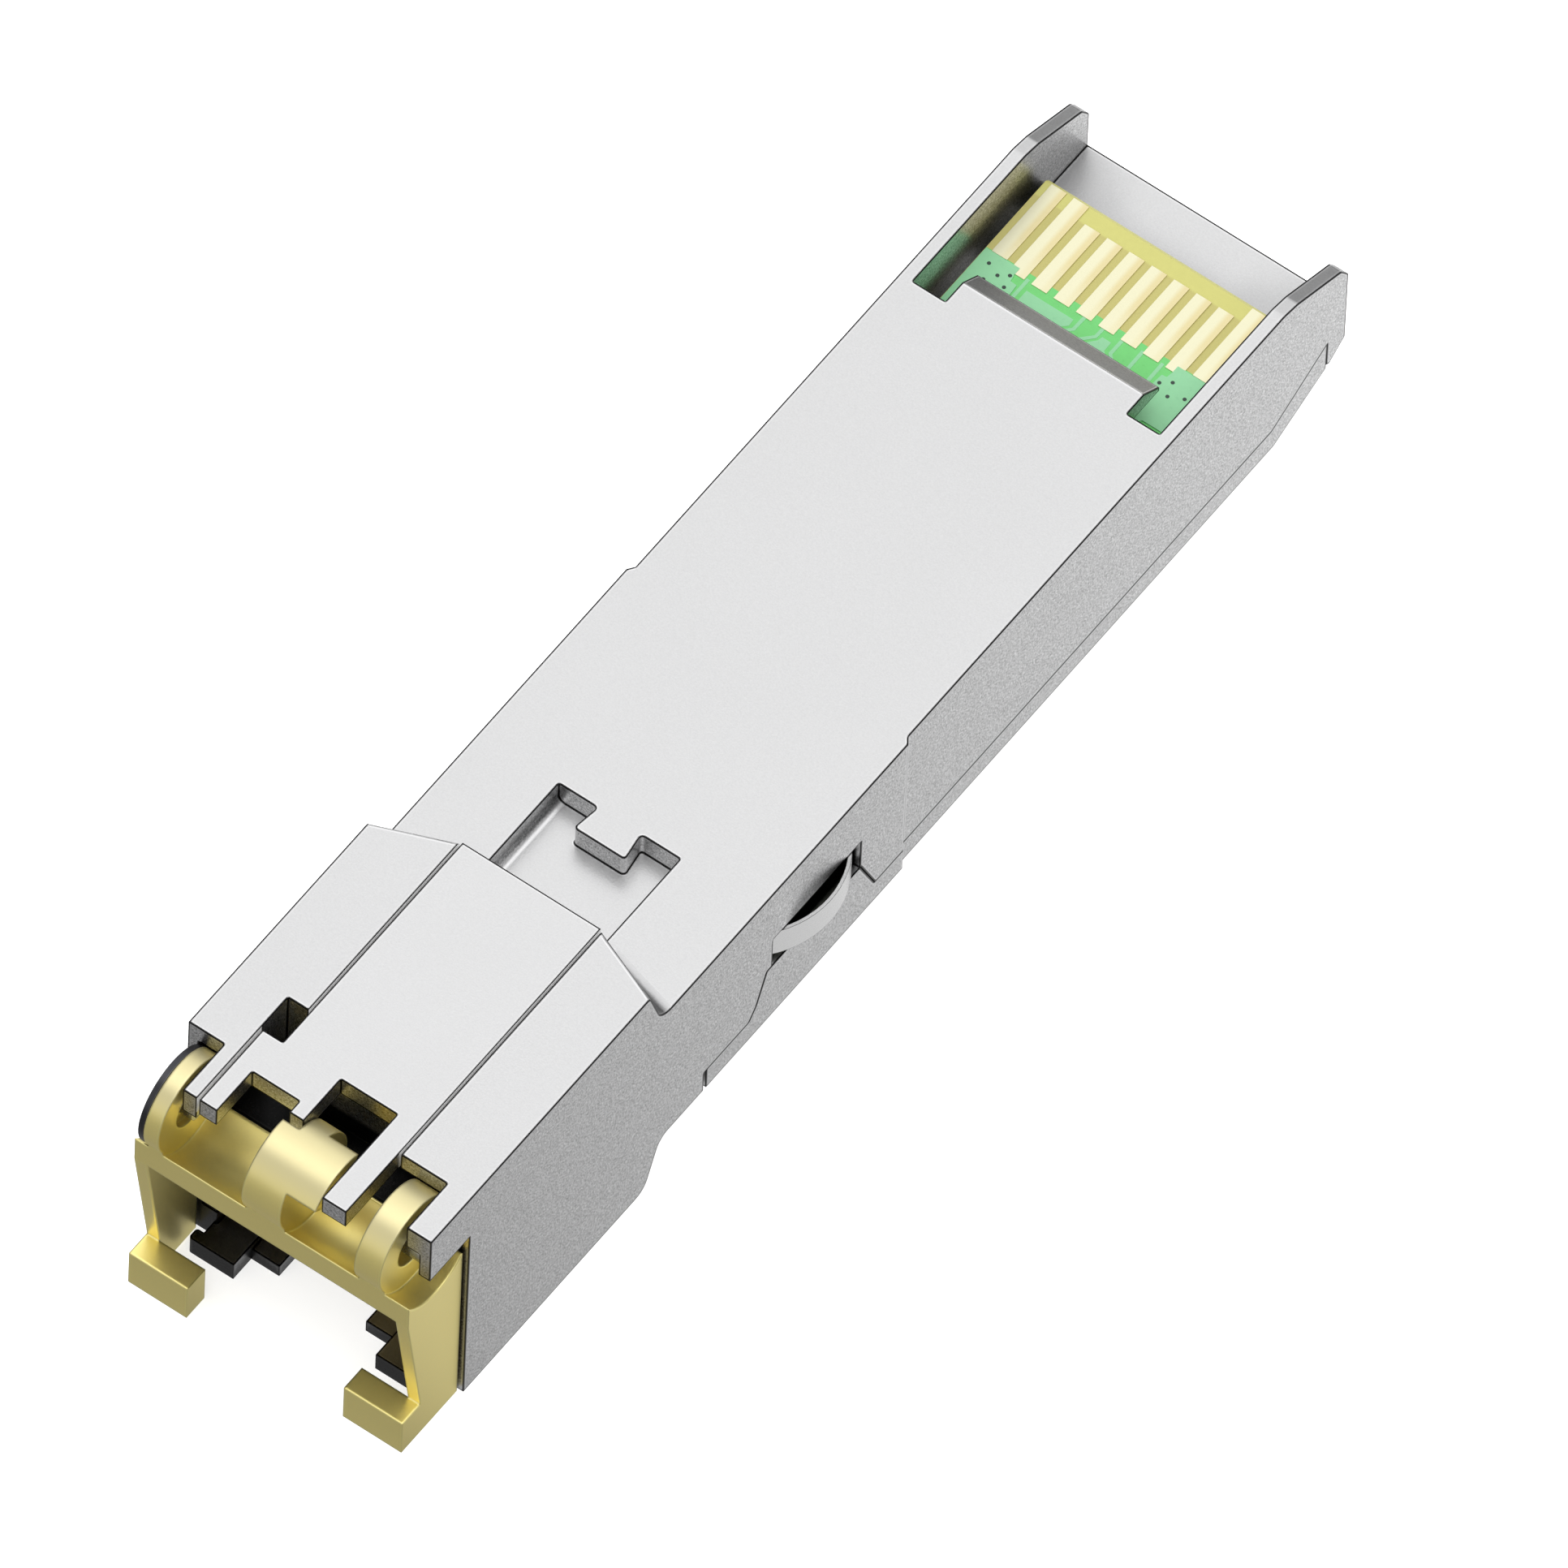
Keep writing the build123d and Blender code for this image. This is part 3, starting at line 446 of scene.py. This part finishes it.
# %% Add the sheen
PAD_PITCH = 1.087
BAND_START, BAND_FULL, BAND_STRENGTH = 0.50, 0.78, 0.7
PAD_FRONT_Y, PAD_FULL_Y, FRONT_STRENGTH = 33.2, 35.0, 0.35
SHEEN_COLOR = (0.60, 0.50, 0.24)

tree = finishes["pad_gold"].node_tree
point = axes(tree, "Object")
across = combine(tree, "FLOORED_MODULO", point["X"], PAD_PITCH * MM)
rise = ramp(tree, across, BAND_START * MM, BAND_FULL * MM, 0.0, BAND_STRENGTH, smooth=True)
along = ramp(tree, point["Y"], at(0, PAD_FRONT_Y, 0).y, at(0, PAD_FULL_Y, 0).y, FRONT_STRENGTH, 1.0,
             smooth=True)
# The beige band is a painted reflection on each pad.
paint_over(finishes["pad_gold"], combine(tree, "MULTIPLY", rise, along), SHEEN_COLOR)
print("pad pitch in mm:", PAD_PITCH)

# %% [markdown]
# ## Browner board between the pads
# The board is painted browner between the pads than in the bare yellow band behind them. The brown ends
# where the short pads end.

# %% Tint the laminate
BROWN_REAR_Y = 36.55
BROWN_FADE = 0.1
BROWN_STRENGTH = 0.55
BROWN_COLOR = (0.50, 0.43, 0.17)

tree = finishes["board_laminate"].node_tree
point = axes(tree, "Object")
# Browner between the pads: the colour is painted from the board's front to the rear ends of the short pads,
# fading over a tenth of a millimetre.
brown_mask = ramp(tree, point["Y"], at(0, BROWN_REAR_Y, 0).y, at(0, BROWN_REAR_Y + BROWN_FADE, 0).y,
             BROWN_STRENGTH, 0.0)
paint_over(finishes["board_laminate"], brown_mask, BROWN_COLOR)
# The value printed is where the browner colour ends.
print("copper layer ends at", BROWN_REAR_Y, "mm")

# %% [markdown]
# ## Dress the frame
# Each node of the frame knows its material slot, and each slot has one finish, so the finishes
# go on by name.

# %% Assign the finishes
slot_of = {part["node"]: part["material_slot"] for part in frame["record"]["subparts"]}
for name, node in nodes.items():
    finish, slots = finishes[slot_of[name]], node.data.materials
    if len(slots) == 0:
        slots.append(finish)
    for i in range(len(slots)):
        slots[i] = finish
print("dressed nodes:", len(nodes))

# %% [markdown]
# ## The solder mask
# The board is yellow laminate. A green film of mask covers it in front of the pads, and under
# the film lie lighter patches, where copper fills the layer, and dark dots, where small
# drilled holes run through. The film is thinner than a hair, so it isn't a solid of its own
# in the frame. It could be painted with a texture, but real sheets of mesh keep their crisp
# outlines in every view.

# %% Thin sheets on the board
BOARD_TOP_Z = -2.3
BOARD_THICKNESS = 1.0
BOARD_FRONT_Y = -2.75
BOARD_HALF_WIDTH = 5.56
MASK_REAR_Y = 33.39
MASK_INSET = 0.02
MASK_FILM = 0.02


def sheet_piece(name, outlines, z, thickness, material):
    mesh = bmesh.new()
    for outline in outlines:
        low = [mesh.verts.new(at(x, y, z)) for x, y in outline]
        high = [mesh.verts.new(at(x, y, z + thickness)) for x, y in outline]
        mesh.faces.new(high)
        mesh.faces.new(list(reversed(low)))
        for i in range(len(outline)):
            j = (i + 1) % len(outline)
            mesh.faces.new((low[i], low[j], high[j], high[i]))
    bmesh.ops.recalc_face_normals(mesh, faces=mesh.faces)
    data = bpy.data.meshes.new(name)
    mesh.to_mesh(data)
    mesh.free()
    data.materials.append(material)
    piece = bpy.data.objects.new(name, data)
    bpy.context.scene.collection.objects.link(piece)
    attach(piece, "case")


FILM = dict(metallic=0.0, edge_mm=0.01)
GREEN_FILM = dict(FILM, roughness=0.30, speck_mm=0.3, cloud=0.1, shine=0.2)
mask_green = hard_finish("mask_green", (0.19, 0.66, 0.20), (0.15, 0.55, 0.16), speck=0.12, **GREEN_FILM)
pour_green = hard_finish("pour_green", (0.31, 0.68, 0.38), (0.28, 0.62, 0.34), speck=0.08, **GREEN_FILM)
via_dark = hard_finish("via_dark", (0.02, 0.04, 0.03), (0.02, 0.04, 0.03), roughness=0.5, **FILM)

side = BOARD_HALF_WIDTH - MASK_INSET
mask_outline = [(-side, BOARD_FRONT_Y), (side, BOARD_FRONT_Y), (side, MASK_REAR_Y), (-side, MASK_REAR_Y)]
board_bottom_z = BOARD_TOP_Z - BOARD_THICKNESS
sheet_piece("solder_mask_upper", [mask_outline], BOARD_TOP_Z, MASK_FILM, mask_green)
sheet_piece("solder_mask_lower", [mask_outline], board_bottom_z - MASK_FILM, MASK_FILM, mask_green)
print("mask length in mm:", MASK_REAR_Y - BOARD_FRONT_Y)

# %% [markdown]
# ## Copper under the mask
# Two broad ground areas sit at the corners and climb over the neighbouring pads. Between them
# run the signal lines, 0.16 mm wide, some with a bend. Each is drawn as its outline in
# millimetres, and the lines come from their middle points, so a width is written once.

# %% Ground areas, signal lines and drilled holes
COPPER_FRONT_Y = 29.2
COPPER_FILM = 0.03
GROUND_FILM = 2 * COPPER_FILM
HOLE_FILM = 2.3 * COPPER_FILM
LINE_WIDTH = 0.16
HOLE_RADIUS = 0.085
HOLE_SIDES = 14


def trace(points):
    left_side, right_side = [], []
    for i, (x, y) in enumerate(points):
        x0, y0 = points[max(i - 1, 0)]
        x1, y1 = points[min(i + 1, len(points) - 1)]
        length = math.hypot(x1 - x0, y1 - y0)
        nx, ny = -(y1 - y0) / length * LINE_WIDTH / 2, (x1 - x0) / length * LINE_WIDTH / 2
        left_side.append((x + nx, y + ny))
        right_side.append((x - nx, y - ny))
    return right_side + left_side[::-1]


def disc(x, y):
    angles = [math.tau * i / HOLE_SIDES for i in range(HOLE_SIDES)]
    return [(x + HOLE_RADIUS * math.cos(a), y + HOLE_RADIUS * math.sin(a)) for a in angles]


ground_areas = [
    [(-5.52, 33.33), (-5.52, COPPER_FRONT_Y), (-3.46, COPPER_FRONT_Y), (-3.46, 32.1), (-3.5, 32.6),
     (-3.81, 32.62), (-3.87, 32.97), (-3.87, 33.33)],
    [(3.82, 33.33), (3.82, 32.95), (3.77, 32.65), (3.55, 32.62), (3.5, 32.05), (3.5, COPPER_FRONT_Y),
     (4.22, 30.4), (5.52, 30.4), (5.52, 33.33)],
]
centre_areas = [
    [(-3.05, 32.65), (-3.05, 31.0), (-1.03, 31.0), (-1.03, 32.02), (-0.74, 32.3), (-0.77, 32.65)],
    [(0.63, 32.67), (0.56, 32.42), (0.19, 32.0), (0.19, 31.0), (1.24, 31.0), (1.24, 32.03),
     (1.07, 32.18), (1.06, 32.66)],
]
signal_lines = [
    [(-3.31, 33.13), (-3.31, COPPER_FRONT_Y)],
    [(-0.48, 33.08), (-0.5, 32.28), (-0.85, 31.9)],
    [(0.42, 33.05), (0.40, 32.52), (0.0, 32.08), (-0.3, 31.9)],
    [(1.35, 33.07), (1.34, 32.22), (1.55, 32.0), (1.7, 31.6)],
    [(2.3, 33.1), (2.32, COPPER_FRONT_Y)],
    [(3.26, 33.1), (3.28, COPPER_FRONT_Y)],
]
holes = [(-4.99, 32.79), (-4.38, 32.52), (-3.98, 32.81), (-3.84, 32.22), (-4.72, 32.04),
         (3.7, 32.25), (4.12, 32.57), (4.34, 31.91), (4.96, 32.21), (3.77, 31.6)]
for name, outlines, film, material in (
    ("ground_areas", ground_areas, GROUND_FILM, pour_green),
    ("centre_areas", centre_areas, COPPER_FILM, pour_green),
    ("signal_lines", [trace(line) for line in signal_lines], COPPER_FILM, pour_green),
    ("drilled_holes", [disc(x, y) for x, y in holes], HOLE_FILM, via_dark),
):
    sheet_piece(name, outlines, BOARD_TOP_Z, film, material)
print("signal lines:", len(signal_lines), "holes:", len(holes))

# %% [markdown]
# ## The studio
# Satin metal shows little of its own: it mirrors the room, softly. So the room is made first.
# The sky is one broad glow overhead, a little behind, and a weaker one in front, but looked at
# straight it is plain white. The floor is pale to the camera. To all other rays it is a plain
# glow, brighter towards the rear and darker in front, as if a grey card lay there. That gives
# the pale top, the grey side and the dark front.

# %% The floor
FLOOR_HALF_SIZE = 3.0
FLOOR_SQUARES = 4
FLOOR_GAP = 0.02 * MM
FLOOR_ROUGHNESS = 0.9
FLOOR_COLOR = (0.93, 0.93, 0.93, 1)
WHITE = (1, 1, 1, 1)
SEEN_GLOW = 0.7
CARD_Y, BARE_Y, FAR_Y = -23, -15, 45
CARD_GLOW, BARE_GLOW, FAR_GLOW = 0.32, 0.62, 0.42

floor_mesh = bmesh.new()
bmesh.ops.create_grid(floor_mesh, x_segments=FLOOR_SQUARES, y_segments=FLOOR_SQUARES, size=FLOOR_HALF_SIZE)
floor_data = bpy.data.meshes.new("floor")
floor_mesh.to_mesh(floor_data)
floor_mesh.free()
floor = bpy.data.objects.new("floor", floor_data)
floor.location.z = cad_bounds[0].z - FLOOR_GAP
bpy.context.scene.collection.objects.link(floor)

floor_paint = bpy.data.materials.new("floor_paint")
floor_paint.use_nodes = True
tree = floor_paint.node_tree
seen_floor = tree.nodes["Principled BSDF"]
for label, value in (("Base Color", FLOOR_COLOR), ("Roughness", FLOOR_ROUGHNESS),
                     ("Emission Color", WHITE), ("Emission Strength", SEEN_GLOW)):
    seen_floor.inputs[label].default_value = value
point = axes(tree, "Object")
card = ramp(tree, point["Y"], at(0, CARD_Y, 0).y, at(0, BARE_Y, 0).y, CARD_GLOW, BARE_GLOW, smooth=True)
rearward = ramp(tree, point["Y"], at(0, BARE_Y, 0).y, at(0, FAR_Y, 0).y, 0.0, FAR_GLOW)
glow = add(tree, "ShaderNodeEmission", {"Strength": combine(tree, "ADD", card, rearward)})
camera_ray = add(tree, "ShaderNodeLightPath").outputs["Is Camera Ray"]
both_looks = add(tree, "ShaderNodeMixShader", {0: camera_ray, 1: glow.outputs[0], 2: seen_floor.outputs[0]})
tree.links.new(both_looks.outputs[0], tree.nodes["Material Output"].inputs["Surface"])
floor_data.materials.append(floor_paint)
print("floor half size in m:", FLOOR_HALF_SIZE)

# %% [markdown]
# ## The sky
# Each glow of the sky is brightest in one direction. The dot product tells how far a ray points
# that way, and a smooth ramp turns this into brightness. The brighter of the two glows counts.

# %% The sky
SKY_GLOWS = [
    ((-0.25, 0.35, 0.90), dict(start=0.50, end=0.93, low=0.14, high=1.41)),
    ((-0.15, -0.84, 0.52), dict(start=0.35, end=0.95, low=0.0, high=0.75)),
]

world = bpy.data.worlds.new("studio")
bpy.context.scene.world = world
world.use_nodes = True
tree = world.node_tree
ray = add(tree, "ShaderNodeTexCoord").outputs["Generated"]
brightness = add(tree, "ShaderNodeLightPath").outputs["Is Camera Ray"]
for toward, levels in SKY_GLOWS:
    match = add(tree, "ShaderNodeVectorMath", {0: ray, 1: toward}, operation="DOT_PRODUCT").outputs["Value"]
    brightness = combine(tree, "MAXIMUM", brightness, ramp(tree, match, smooth=True, **levels))
tree.links.new(brightness, tree.nodes["Background"].inputs["Strength"])
tree.nodes["Background"].inputs["Color"].default_value = WHITE
print("glows in the sky:", len(SKY_GLOWS))

# %% [markdown]
# ## The lights
# Three broad area lights shape what the glow leaves flat: one overhead, one from the right for
# the long side, and a weak one from the front.

# %% Soft lights
def soft_light(name, direction, distance, size, power):
    data = bpy.data.lights.new(name, "AREA")
    data.shape = "SQUARE"
    data.size = size
    data.energy = power
    light = bpy.data.objects.new(name, data)
    bpy.context.scene.collection.objects.link(light)
    aim = Vector(direction).normalized()
    light.location = MODULE_MIDDLE + aim * distance
    light.rotation_mode = "QUATERNION"
    light.rotation_quaternion = aim.to_track_quat("Z", "Y")


soft_light("overhead", direction=(0.2, -0.1, 1.0), distance=0.6, size=0.7, power=1.5)
soft_light("right_side", direction=(1.0, 0.3, 0.35), distance=0.6, size=0.5, power=0.5)
soft_light("front_fill", direction=(-0.3, -1.0, 0.5), distance=0.7, size=0.4, power=0.1)
print("lights:", len(bpy.data.lights))

# %% [markdown]
# ## The size of the frame
# The dressed module must fill the same box as the frame. The frame's box is printed in millimetres.

# %% Print the frame's box
print("frame box in mm:", [round((h - l) * 1000, 2) for l, h in zip(*cad_bounds)])
